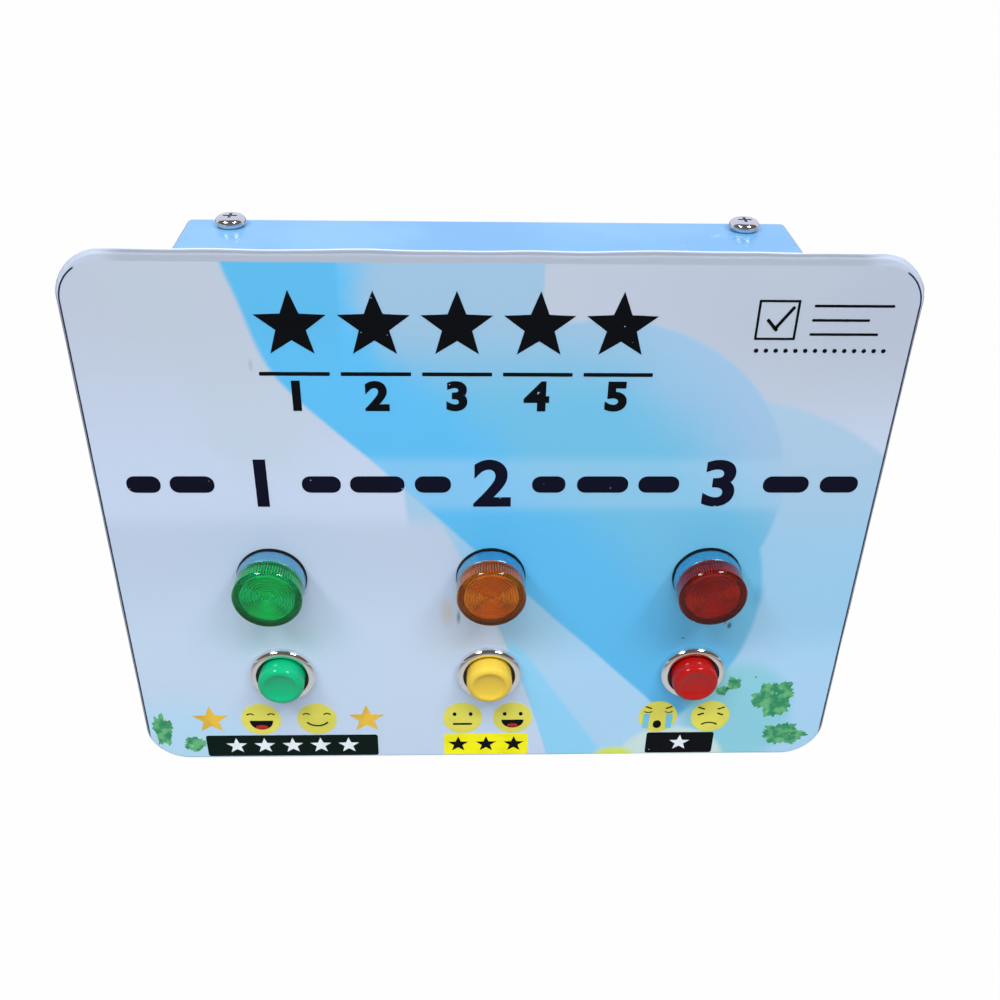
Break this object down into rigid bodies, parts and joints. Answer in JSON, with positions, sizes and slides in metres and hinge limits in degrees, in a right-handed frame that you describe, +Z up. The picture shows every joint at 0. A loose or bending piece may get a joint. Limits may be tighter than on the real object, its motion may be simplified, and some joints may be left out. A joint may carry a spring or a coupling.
{
  "type": "customer feedback button terminal",
  "caption": "Wall-held feedback terminal: printed front panel with indicator lamps above spring-return push buttons, on a folded steel case over a wall plate.",
  "frame": {"origin": "centre of the four wall screw holes, on the wall's surface", "axes": "+X right and +Z up as seen from the front; the front faces -Y and +Y points into the wall"},
  "size_m": [0.305, 0.1207, 0.241],
  "materials": {
    "printed_vinyl": "satin printed vinyl film",
    "board_core": "plain composite board",
    "powder_blue": "light blue powder coat",
    "zinc_steel": "zinc plated",
    "bright_steel": "bright plated",
    "dark_steel": "dull plated",
    "foam": "closed-cell foam",
    "black_rubber": "smooth",
    "nut_plastic": "moulded",
    "black_plastic": "moulded",
    "white_plastic": "moulded",
    "brass_screw": "turned",
    "circuit_green": "solder resist",
    "supply_metal": "folded case",
    "wire_sleeve": "insulated lead",
    "spring_steel": "drawn wire",
    "blue_metal": "blue tinted, polished",
    "chrome_ring": "polished",
    "lens_green": "clear tinted, moulded rings",
    "lens_amber": "clear tinted, moulded rings",
    "lens_red": "clear tinted, moulded rings",
    "cap_green": "glossy",
    "cap_amber": "glossy",
    "cap_red": "glossy"
  },
  "bodies": {
    "housing": {"amber_button_barrel": "black_plastic", "amber_button_ring": "chrome_ring", "amber_button_spring": "spring_steel", "amber_button_switch_block": "black_plastic", "amber_lamp_bezel": "blue_metal", "amber_lamp_body": "black_plastic", "amber_lamp_led_board": "white_plastic", "amber_lamp_lens": "lens_amber", "board_nuts": "zinc_steel", "board_screws": "zinc_steel", "board_standoffs": "brass_screw", "button_gaskets": "black_rubber", "case_screws": "bright_steel", "case_shell": "powder_blue", "case_washers": "dark_steel", "circuit_board": "circuit_green", "circuit_screws": "zinc_steel", "earth_stud": "brass_screw", "front_board": "board_core", "gland_body": "black_plastic", "gland_cap": "black_plastic", "gland_locknut": "black_plastic", "gland_seal": "black_rubber", "green_button_barrel": "black_plastic", "green_button_ring": "chrome_ring", "green_button_spring": "spring_steel", "green_button_switch_block": "black_plastic", "green_lamp_bezel": "blue_metal", "green_lamp_body": "black_plastic", "green_lamp_led_board": "white_plastic", "green_lamp_lens": "lens_green", "lamp_diffusers": "white_plastic", "lamp_gaskets": "black_rubber", "panel_gasket": "foam", "power_supply": "supply_metal", "printed_film": "printed_vinyl", "red_button_barrel": "black_plastic", "red_button_ring": "chrome_ring", "red_button_spring": "spring_steel", "red_button_switch_block": "black_plastic", "red_lamp_bezel": "blue_metal", "red_lamp_body": "black_plastic", "red_lamp_led_board": "white_plastic", "red_lamp_lens": "lens_red", "ring_nuts": "nut_plastic", "terminal_screws": "brass_screw", "terminal_strip": "white_plastic", "wall_plate": "powder_blue", "wall_plate_nuts": "zinc_steel", "wiring_loom": "wire_sleeve"},
    "green_button": {"green_button_cap": "cap_green", "green_button_plunger": "white_plastic", "green_button_contact_slider": "white_plastic"},
    "amber_button": {"amber_button_cap": "cap_amber", "amber_button_plunger": "white_plastic", "amber_button_contact_slider": "white_plastic"},
    "red_button": {"red_button_cap": "cap_red", "red_button_plunger": "white_plastic", "red_button_contact_slider": "white_plastic"}
  },
  "joints": [
    {"name": "green_button_press", "type": "slide", "parent": "housing", "child": "green_button", "axis": [0, 1, 0], "range_m": [0, 0.004], "stiffness_N_per_m": 500, "deforming": ["green_button_spring"]},
    {"name": "amber_button_press", "type": "slide", "parent": "housing", "child": "amber_button", "axis": [0, 1, 0], "range_m": [0, 0.004], "stiffness_N_per_m": 500, "deforming": ["amber_button_spring"]},
    {"name": "red_button_press", "type": "slide", "parent": "housing", "child": "red_button", "axis": [0, 1, 0], "range_m": [0, 0.004], "stiffness_N_per_m": 500, "deforming": ["red_button_spring"]}
  ]
}
